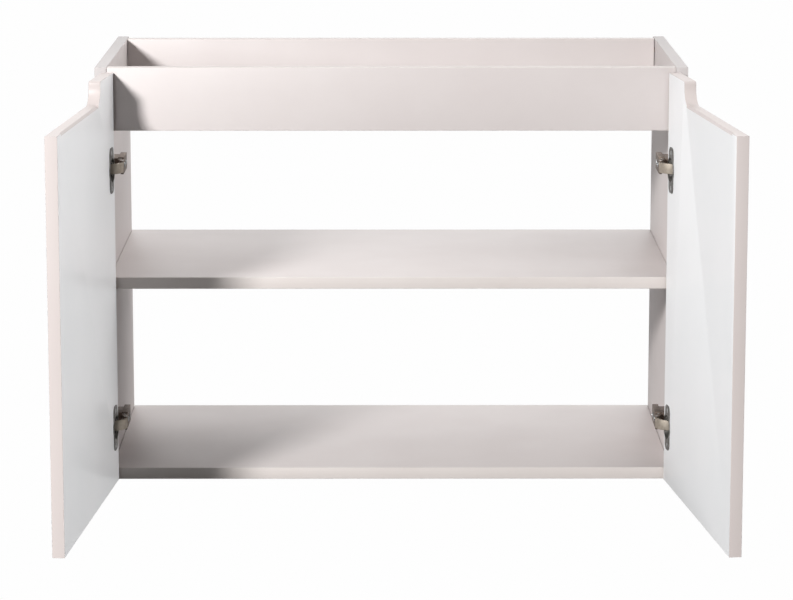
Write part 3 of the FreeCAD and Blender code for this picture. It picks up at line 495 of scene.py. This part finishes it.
def cam_cutters(bm, node):
    """Bores for the cams inside a board's box, open on the side that they are put in by."""
    low, high = (Vector(v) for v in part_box(node))
    near = 1e-4
    upright = high.z - low.z > high.y - low.y
    face = Vector((0, 1, 0)) if upright else Vector((0, 0, -1))
    for points in islands("cam_locks"):
        middle = sum(points, Vector()) / len(points)
        if all(low[i] - near < middle[i] < high[i] + near for i in range(3)):
            drum(bm, end_of(points, face), face, CAM_RADIUS, -CAM_BORE_DEPTH, PAST)


def wall_cutters(bm, depth_middle):
    """The back rail's two holes for wall screws."""
    for side in SIDES.values():
        centre = Vector((side * WALL_HOLE_SIDE, depth_middle, WALL_HOLE_UP))
        across = Vector((0, 1, 0))
        drum(bm, centre, across, WALL_HOLE_RADIUS, -WALL_HOLE_REACH, WALL_HOLE_REACH, 32)


def board(node, name, banded, gaps=(0.0, 0.0), band=BAND):
    """One board with softly broken edges, its bores and an edge band on the sides named.

    The gaps are how far its left and right ends stay clear of the side panels.
    """
    low, high = (Vector(v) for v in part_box(node))
    low.x += gaps[0]
    high.x -= gaps[1]
    bm = bmesh.new()
    bmesh.ops.create_cube(bm, size=1.0)
    size, middle = high - low, (high + low) / 2
    for vert in bm.verts:
        vert.co = Vector(vert.co[i] * size[i] + middle[i] for i in range(3))
    break_edges(bm, list(bm.edges), PANEL_BEVEL, 3)
    for face in bm.faces:
        face.normal_update()
        if any(face.normal.dot(Vector(way)) > 0.5 for way in banded):
            face.material_index = 1
    mats = [CARCASS, band, RAW_BOARD]
    obj = to_object(name, bm, mats)
    cutters = bmesh.new()
    cam_cutters(cutters, node)
    if node == "back_rail":
        wall_cutters(cutters, middle.y)
    if cutters.verts:
        for face in cutters.faces:
            face.material_index = 2
        carve(obj, to_object(f"{name}_cutters", cutters, mats))
    else:
        cutters.free()
    smooth(obj)
    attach(obj, "cabinet")
    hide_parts(node)


FRONT, BACK, UP, DOWN = (0, -1, 0), (0, 1, 0), (0, 0, 1), (0, 0, -1)
CLEAR = (JOINT_GAP, JOINT_GAP)
# The side panels' edges take the band with painted shade.
board("left_side_panel", "side_board_left", [FRONT, BACK, UP, DOWN], band=SIDE_BAND_PAINTED_SHADE)
board("right_side_panel", "side_board_right", [FRONT, BACK, UP, DOWN], band=SIDE_BAND_PAINTED_SHADE)
board("bottom_panel", "bottom_board", [FRONT, BACK], CLEAR)
board("middle_shelf", "shelf_board", [FRONT, BACK], CLEAR)
board("front_rail", "rail_board_front", [UP, DOWN], CLEAR)
board("back_rail", "rail_board_back", [UP, DOWN], (JOINT_GAP, WIDE_GAP))


# ---------------------------------------------------------------- doors


def arc(centre, radius, start, stop, steps=14):
    """Points on an arc, both ends included; angles in degrees."""
    turns = [math.radians(start + (stop - start) * i / steps) for i in range(steps + 1)]
    return [(centre[0] + radius * math.cos(a), centre[1] + radius * math.sin(a)) for a in turns]


def door_outline():
    """A door seen from its inner face: along its width from the hinge edge, and up."""
    foot = arc((TAB_WIDTH + SCOOP_RADIUS, LOW_TOP + SCOOP_RADIUS), SCOOP_RADIUS, 270, 180)
    nose = arc((TAB_WIDTH - TAB_NOSE, TAB_TOP - TAB_NOSE), TAB_NOSE, 0, 90, 8)
    low = [(0, DOOR_LOW), (DOOR_WIDTH, DOOR_LOW), (DOOR_WIDTH, LOW_TOP)]
    return [*low, *foot, *nose, (0, TAB_TOP)]


def door_frame(hand):
    """The door's own axes along its width and out through its thickness, and its corner."""
    points = [v.co for v in NODES[f"{hand}_door"].data.vertices]
    side = SIDES[hand]
    lean = math.radians(REST_ANGLE[hand])
    along = Vector((-side * math.cos(lean), -math.sin(lean), 0))
    outward = Vector((side * math.sin(lean), -math.cos(lean), 0))
    corner = along * min(p.dot(along) for p in points)
    corner = corner + outward * min(p.dot(outward) for p in points)
    return along, outward, corner


def door(hand):
    """One door: its outline with rounded edges, the bevelled grip and the cups' bores."""
    along, outward, corner = door_frame(hand)
    flush = 1e-5

    def world(u, w, z):
        return corner + along * u + outward * w + Vector((0, 0, z))

    def depth(vert):
        return (vert.co - corner).dot(outward)

    bm = bmesh.new()
    outline = door_outline()
    closed(bm, *[[bm.verts.new(world(u, w, z)) for u, z in outline] for w in (0, BOARD)])
    bm.edges.ensure_lookup_table()
    outer = [e for e in bm.edges if all(depth(v) > BOARD - flush for v in e.verts)]
    break_edges(bm, outer, DOOR_BEVEL, 5)
    inner = [e for e in bm.edges if all(depth(v) < flush for v in e.verts)]
    break_edges(bm, inner, INNER_BEVEL, 3)
    for face in bm.faces:
        face.normal_update()
        face.material_index = 0 if face.normal.dot(-outward) > 0.98 else 1
    mats = [DOOR_INNER, DOOR_OUTER, RAW_BOARD]
    obj = to_object(f"door_board_{hand}", bm, mats)

    cutters = bmesh.new()
    grip = (TAB_WIDTH + SCOOP_RADIUS * GRIP_START, DOOR_WIDTH - GRIP_STOP)
    wedge = [
        (-PAST, LOW_TOP + PAST),
        (-PAST, LOW_TOP - GRIP_DEPTH - PAST),
        (GRIP_DEPTH + PAST, LOW_TOP + PAST),
    ]
    closed(cutters, *[[cutters.verts.new(world(u, w, z)) for w, z in wedge] for u in grip])
    for face in cutters.faces:
        face.material_index = 1
    lacquered = set(cutters.faces)
    for height in LEVELS.values():
        mouth = world(CUP_IN, 0, height)
        drum(cutters, mouth, outward, CUP_BORE_RADIUS, -PAST, CUP_BORE_DEPTH, 96)
    for face in cutters.faces:
        if face not in lacquered:
            face.material_index = 2
    carve(obj, to_object(f"door_cutters_{hand}", cutters, mats))
    smooth(obj)
    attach(obj, f"{hand}_door")
    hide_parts(f"{hand}_door")


for hand in SIDES:
    door(hand)


# ---------------------------------------------------------------- hinges


def softened(node, name, body, slot, mat, arris, segments):
    """A CAD node's own shape with broken edges, as pressed and plated parts have them."""
    sharp = 38  # degrees
    bm = bmesh.new()
    bm.from_mesh(NODES[node].data)
    bmesh.ops.remove_doubles(bm, verts=bm.verts, dist=WELD)
    bmesh.ops.dissolve_limit(
        bm, angle_limit=math.radians(0.6), verts=bm.verts, edges=bm.edges,
        use_dissolve_boundaries=False,
    )
    bmesh.ops.recalc_face_normals(bm, faces=bm.faces)
    obj = to_object(name, bm, [mat])
    modifier = obj.modifiers.new("break_edges", "BEVEL")
    modifier.width = arris
    modifier.segments = segments
    modifier.limit_method = "ANGLE"
    modifier.angle_limit = math.radians(sharp)
    modifier.use_clamp_overlap = True
    baked(obj)
    smooth(obj, sharp)
    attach(obj, body)
    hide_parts(node)


# For each piece of a hinge: its CAD node, its own name, its body, its slot, its material,
# how far its edges are broken and in how many steps.
HINGE_PIECES = [
    ("hinge_cup", "cup", "{hand}_door", "nickel_plated_steel", CUP_NICKEL, CUP_ARRIS, 3),
    (
        "inner_link", "link_inner", "{hinge}_inner_link",
        "nickel_plated_steel", NICKEL, LINK_ARRIS, 2,
    ),
    (
        "outer_link", "link_outer", "{hinge}_outer_link",
        "nickel_plated_steel", LINK_NICKEL, LINK_ARRIS, 2,
    ),
    # The arm and the mounting plate take the nickel with painted shade.
    ("hinge_arm", "arm", "cabinet", "nickel_plated_steel", ARM_NICKEL_PAINTED_SHADE, ARM_ARRIS, 3),
    ("mounting_plate", "plate", "cabinet", "nickel_plated_steel", ARM_NICKEL_PAINTED_SHADE, ARM_ARRIS, 3),
    ("arm_rivets", "rivets", "cabinet", "bright_steel", BRIGHT_STEEL, ARM_ARRIS, 3),
]
for hand, level in itertools.product(SIDES, LEVELS):
    hinge = f"{hand}_{level}"
    for node, name, body, *rest in HINGE_PIECES:
        softened(f"{hinge}_{node}", f"{hinge}_{name}", body.format(hand=hand, hinge=hinge), *rest)


# ---------------------------------------------------------------- fasteners


def lathe(name, profile, segments, mat):
    """A turned piece: the profile's (radius, height) points taken round the Z axis."""
    bm = bmesh.new()
    turns = [2 * math.pi * i / segments for i in range(segments)]
    rows = []
    for radius, height in profile:
        ring = [(radius * math.cos(a), radius * math.sin(a), height) for a in turns]
        if not radius:
            ring = [(0, 0, height)]
        rows.append([bm.verts.new(point) for point in ring])
    for low, high in zip(rows, rows[1:]):
        for i in range(segments):
            j = (i + 1) % segments
            corners = [low[i % len(low)], low[j % len(low)]]
            corners += [high[j % len(high)], high[i % len(high)]]
            bm.faces.new(list(dict.fromkeys(corners)))
    bmesh.ops.recalc_face_normals(bm, faces=bm.faces)
    return to_object(name, bm, [mat])


def cross_recess(obj, reach, width, top, depth):
    """Cuts a driver cross, tapered towards its foot, into the top of a turned piece."""
    foot_reach, foot_width = 0.45, 0.7
    for turn in (0, 90):
        bm = bmesh.new()
        bmesh.ops.create_cube(bm, size=1.0)
        for vert in bm.verts:
            upper = vert.co.z > 0
            long = 2 * reach * (1.0 if upper else foot_reach)
            wide = width * (1.0 if upper else foot_width)
            vert.co = Vector((vert.co.x * long, vert.co.y * wide, vert.co.z * 2 * depth + top))
        spin = Matrix.Rotation(math.radians(turn), 3, "Z")
        bmesh.ops.rotate(bm, verts=bm.verts, cent=(0, 0, 0), matrix=spin)
        carve(obj, to_object(f"{obj.name}_cross", bm, list(obj.data.materials)))


def threaded(radius, length, pitch, tip):
    """Profile points of a screw's shank, from under its head down to its point."""
    core = radius * THREAD_CORE
    points, depth = [], 0.0
    while depth + pitch < length - tip:
        points += [(core, -depth - pitch * 0.3), (core, -depth - pitch * 0.55)]
        points += [(radius, -depth - pitch * 0.8)]
        depth += pitch
    return [*points, (core, -length + tip), (0, -length)]


def domed(radius, height, rim):
    """Profile points of a shallow domed head, from its middle out to its underside."""
    steps = [math.radians(15 * i) for i in range(7)]
    dome = [(radius * math.sin(a), rim + (height - rim) * math.cos(a)) for a in steps]
    return [(0, height), *dome[1:], (radius, rim * 0.3), (radius - rim * 0.3, 0)]


def repeat_tree():
    """Geometry Nodes: one piece on every point, each turned by chance about its own axis."""
    tree = bpy.data.node_groups.new("piece_on_points", "GeometryNodeTree")
    sockets = {
        "Points": "NodeSocketGeometry",
        "Piece": "NodeSocketObject",
        "Facing": "NodeSocketVector",
        "Seed": "NodeSocketInt",
        "Material": "NodeSocketMaterial",
    }
    for label, kind in sockets.items():
        tree.interface.new_socket(label, in_out="INPUT", socket_type=kind)
    tree.interface.new_socket("Geometry", in_out="OUTPUT", socket_type="NodeSocketGeometry")
    start = tree.nodes.new("NodeGroupInput")
    end = tree.nodes.new("NodeGroupOutput")
    info = tree.nodes.new("GeometryNodeObjectInfo")
    info.inputs["As Instance"].default_value = True
    scatter = tree.nodes.new("GeometryNodeInstanceOnPoints")
    chance = tree.nodes.new("FunctionNodeRandomValue")
    chance.data_type = "FLOAT"
    chance.inputs[3].default_value = 2 * math.pi  # the largest turn
    spin = tree.nodes.new("ShaderNodeCombineXYZ")
    turn = tree.nodes.new("GeometryNodeRotateInstances")
    real = tree.nodes.new("GeometryNodeRealizeInstances")
    paint = tree.nodes.new("GeometryNodeSetMaterial")
    link = tree.links.new
    link(start.outputs["Points"], scatter.inputs["Points"])
    link(start.outputs["Piece"], info.inputs["Object"])
    link(info.outputs["Geometry"], scatter.inputs["Instance"])
    link(start.outputs["Facing"], scatter.inputs["Rotation"])
    link(start.outputs["Seed"], chance.inputs["Seed"])
    link(scatter.outputs["Instances"], turn.inputs["Instances"])
    link(chance.outputs[1], spin.inputs["Z"])
    link(spin.outputs["Vector"], turn.inputs["Rotation"])
    link(turn.outputs["Instances"], real.inputs["Geometry"])
    link(real.outputs["Geometry"], paint.inputs["Geometry"])
    link(start.outputs["Material"], paint.inputs["Material"])
    link(paint.outputs["Geometry"], end.inputs["Geometry"])
    return tree


REPEAT = repeat_tree()


def repeated(name, master, spots, facing, seed, body, nodes):
    """One object of a master piece set on every spot, with its top facing along an axis."""
    mesh = bpy.data.meshes.new(name)
    mesh.from_pydata([tuple(s) for s in spots], [], [])
    obj = bpy.data.objects.new(name, mesh)
    bpy.context.scene.collection.objects.link(obj)
    modifier = obj.modifiers.new("repeat", "NODES")
    modifier.node_group = REPEAT
    mat = master.data.materials[0]
    given = {
        "Piece": master,
        "Facing": facing.to_track_quat("Z", "Y").to_euler(),
        "Seed": seed,
        "Material": mat,
    }
    for item in REPEAT.interface.items_tree:
        if item.item_type == "SOCKET" and item.in_out == "INPUT" and item.name in given:
            modifier[item.identifier] = given[item.name]
    obj.update_tag()
    bpy.context.view_layer.update()
    baked(obj)
    if mat.name not in obj.data.materials:
        obj.data.materials.append(mat)
    smooth(obj, 35)
    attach(obj, body)
    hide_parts(*nodes)


def spots_on(node, axis, head, keep=None):
    """Where the undersides of a node's heads lie, for the solids that the test keeps."""
    found = []
    for points in islands(node):
        top = end_of(points, axis)
        if keep is None or keep(top):
            found.append(top - axis * head)
    return found


CUP_SCREW = lathe(
    "cup_screw_master",
    domed(radius=0.0032, height=CUP_HEAD, rim=0.0002)
    + threaded(radius=0.0017, length=0.0132, pitch=0.0011, tip=0.0028),
    32, ZINC,
)
cross_recess(CUP_SCREW, reach=0.0019, width=0.0008, top=0.0008, depth=0.0011)
PLATE_SCREW = lathe(
    "plate_screw_master",
    domed(radius=0.0042, height=PLATE_HEAD, rim=0.0004)
    + threaded(radius=0.00245, length=0.013, pitch=0.0016, tip=0.003),
    32, ZINC,
)
cross_recess(PLATE_SCREW, reach=0.0024, width=0.001, top=0.0016, depth=0.0013)
ADJUSTER = lathe(
    "adjuster_master",
    domed(radius=0.0034, height=ADJUSTER_HEAD, rim=0.0007)
    + threaded(radius=0.002, length=0.0115, pitch=0.0007, tip=0.0004),
    32, ZINC,
)
cross_recess(ADJUSTER, reach=0.0021, width=0.0009, top=0.0017, depth=0.0014)

for hand, side in SIDES.items():
    along, outward, corner = door_frame(hand)
    inward = -outward
    cup_node = f"{hand}_cup_screws"
    repeated(
        f"cup_screws_{hand}", CUP_SCREW, spots_on(cup_node, inward, CUP_HEAD), inward,
        seed=3 + side, body=f"{hand}_door", nodes=[cup_node],
    )
    off_panel = Vector((-side, 0, 0))
    spots = spots_on("plate_screws", off_panel, PLATE_HEAD, lambda top: top.x * side > 0)
    repeated(
        f"plate_screws_{hand}", PLATE_SCREW, spots, off_panel,
        seed=8 + side, body="cabinet", nodes=["plate_screws"],
    )
    for level in LEVELS:
        node = f"{hand}_{level}_adjusting_screws"
        repeated(
            f"{hand}_{level}_adjusters", ADJUSTER,
            spots_on(node, off_panel, ADJUSTER_HEAD), off_panel,
            seed=12 + side, body="cabinet", nodes=[node],
        )

CAM_RIM = [(0.0059, 0), (0.0062, 0.0003), (0.0071, 0.0003), (0.0074, 0)]
CAM_FOOT = [(0.0074, -0.0121), (0.0071, -0.0124), (0, -0.0124)]
CAM = lathe("cam_master", [(0, 0), *CAM_RIM, *CAM_FOOT], 40, CAST_ZINC)
cross_recess(CAM, reach=0.0042, width=0.0016, top=0.0001, depth=0.0024)
RAILS_FROM = 0.4  # cams above this height lie in the rails
below, behind = Vector((0, 0, -1)), Vector((0, 1, 0))
flat_cams = spots_on("cam_locks", below, 0, lambda top: top.z < RAILS_FROM)
upright_cams = spots_on("cam_locks", behind, 0, lambda top: top.z > RAILS_FROM)
repeated(
    "cams_flat_boards", CAM, flat_cams, below,
    seed=21, body="cabinet", nodes=["cam_locks"],
)
repeated(
    "cams_rails", CAM, upright_cams, behind,
    seed=22, body="cabinet", nodes=["cam_locks"],
)
for master in (CUP_SCREW, PLATE_SCREW, ADJUSTER, CAM):
    removed(master)

# The CAD's own pieces that stay as they are, in their new materials.
KEPT = {
    "inner_link_pin": BRIGHT_STEEL,
    "outer_link_pin": BRIGHT_STEEL,
    "cam_bolts": ZINC,
    "dowels": BEECH,
}
for label, obj in NODES.items():
    for ending, mat in KEPT.items():
        if label.endswith(ending):
            for slot in obj.material_slots:
                slot.material = mat


# ---------------------------------------------------------------- stage, light and camera

WHITE = (0.991, 0.991, 0.991, 1)
FLOOR_LEVEL = -0.4
FLOOR_REACH = 12.0

# How strongly the studio shines from each side. Sides that aren't named are dark.
ROOM = {
    (1, 0, 0): 2.10,
    (1, 0, 1): 2.68,
    (1, 0, -1): 2.30,
    (1, 1, 1): 1.56,
    (-1, 1, 0): 0.60,
    (0, 1, 0): 0.90,
    (0, 1, 1): 3.30,
}
ROOM_FOCUS = 14.0  # how sharply one side gives way to the next

# The key lamp shines from the front: degrees round to the left, and up.
KEY_SIDE, KEY_HIGH = 29, 21
KEY_FAR, KEY_SIZE = 5.0, 0.7  # metres
KEY_POWER = 336.0  # watts
KEY_TARGET = Vector((0.0, -0.25, 0.3))

PICTURE_WIDTH = 793.0  # pixels
SENSOR = 36.0  # millimetres
FOCAL_PIXELS = 3135.29
CAMERA_PLACE = (-0.00462, -4.38695, 1.07846)
CAMERA_PITCH, CAMERA_YAW = -9.7052, 0.1582  # degrees up and to the right
CAMERA_SHIFT = -0.1  # upwards, as a share of the picture's width


def floor():
    """The floor, evenly pale and as white to the camera as the backdrop."""
    mat = bpy.data.materials.new("floor_white")
    mat.use_nodes = True
    tree = mat.node_tree
    tree.nodes.clear()
    out = tree.nodes.new("ShaderNodeOutputMaterial")
    glow = tree.nodes.new("ShaderNodeEmission")
    glow.inputs["Color"].default_value = WHITE
    tree.links.new(glow.outputs[0], out.inputs["Surface"])
    bm = bmesh.new()
    bmesh.ops.create_grid(bm, x_segments=1, y_segments=1, size=FLOOR_REACH)
    for vert in bm.verts:
        vert.co.z = FLOOR_LEVEL
    obj = to_object("floor", bm, [mat])
    obj.visible_diffuse = False
    obj.visible_glossy = False
    obj.visible_shadow = False


def sky():
    """The studio's sides, which blend into each other; the camera sees only white."""
    world = bpy.data.worlds.new("studio_room")
    bpy.context.scene.world = world
    world.use_nodes = True
    tree = world.node_tree
    background = tree.nodes["Background"]
    background.inputs["Color"].default_value = WHITE
    place = tree.nodes.new("ShaderNodeTexCoord")

    def maths(operation, *values):
        made = tree.nodes.new("ShaderNodeMath")
        made.operation = operation
        for socket, value in zip(made.inputs, values):
            if isinstance(value, float):
                socket.default_value = value
            else:
                tree.links.new(value, socket)
        return made.outputs[0]

    whole, lit = None, None
    for way in itertools.product((-1, 0, 1), repeat=3):
        if not any(way):
            continue
        towards = tree.nodes.new("ShaderNodeVectorMath")
        towards.operation = "DOT_PRODUCT"
        tree.links.new(place.outputs["Generated"], towards.inputs[0])
        towards.inputs[1].default_value = Vector(way).normalized()
        share = maths("EXPONENT", maths("MULTIPLY", towards.outputs["Value"], ROOM_FOCUS))
        whole = share if whole is None else maths("ADD", whole, share)
        if way in ROOM:
            strong = maths("MULTIPLY", share, ROOM[way])
            lit = strong if lit is None else maths("ADD", lit, strong)
    room = maths("DIVIDE", lit, whole)
    paths = tree.nodes.new("ShaderNodeLightPath")
    seen = paths.outputs["Is Camera Ray"]
    shown = maths("ADD", maths("MULTIPLY", room, maths("SUBTRACT", 1.0, seen)), seen)
    tree.links.new(shown, background.inputs["Strength"])


def key_lamp():
    """The one lamp, a round soft one that the camera doesn't see."""
    side, high = math.radians(KEY_SIDE), math.radians(KEY_HIGH)
    way = Vector((math.sin(side), math.cos(side), 0)) * math.cos(high)
    way.z = -math.sin(high)
    data = bpy.data.lights.new("key", "AREA")
    data.shape = "DISK"
    data.size = KEY_SIZE
    data.energy = KEY_POWER
    obj = bpy.data.objects.new("key", data)
    bpy.context.scene.collection.objects.link(obj)
    obj.location = KEY_TARGET - way * KEY_FAR
    obj.rotation_euler = way.to_track_quat("-Z", "Y").to_euler()
    obj.visible_camera = False


def camera():
    """The photograph's viewing angle."""
    data = bpy.data.cameras.new("camera")
    data.sensor_width = SENSOR
    data.lens = FOCAL_PIXELS / PICTURE_WIDTH * SENSOR
    data.shift_y = CAMERA_SHIFT
    data.clip_end = 100
    obj = bpy.data.objects.new("camera", data)
    bpy.context.scene.collection.objects.link(obj)
    obj.location = CAMERA_PLACE
    pitch, yaw = math.radians(90 + CAMERA_PITCH), math.radians(-CAMERA_YAW)
    obj.rotation_euler = Euler((pitch, 0, yaw), "XYZ")
    bpy.context.scene.camera = obj


floor()
sky()
key_lamp()
camera()
bpy.context.scene.view_settings.view_transform = "Standard"
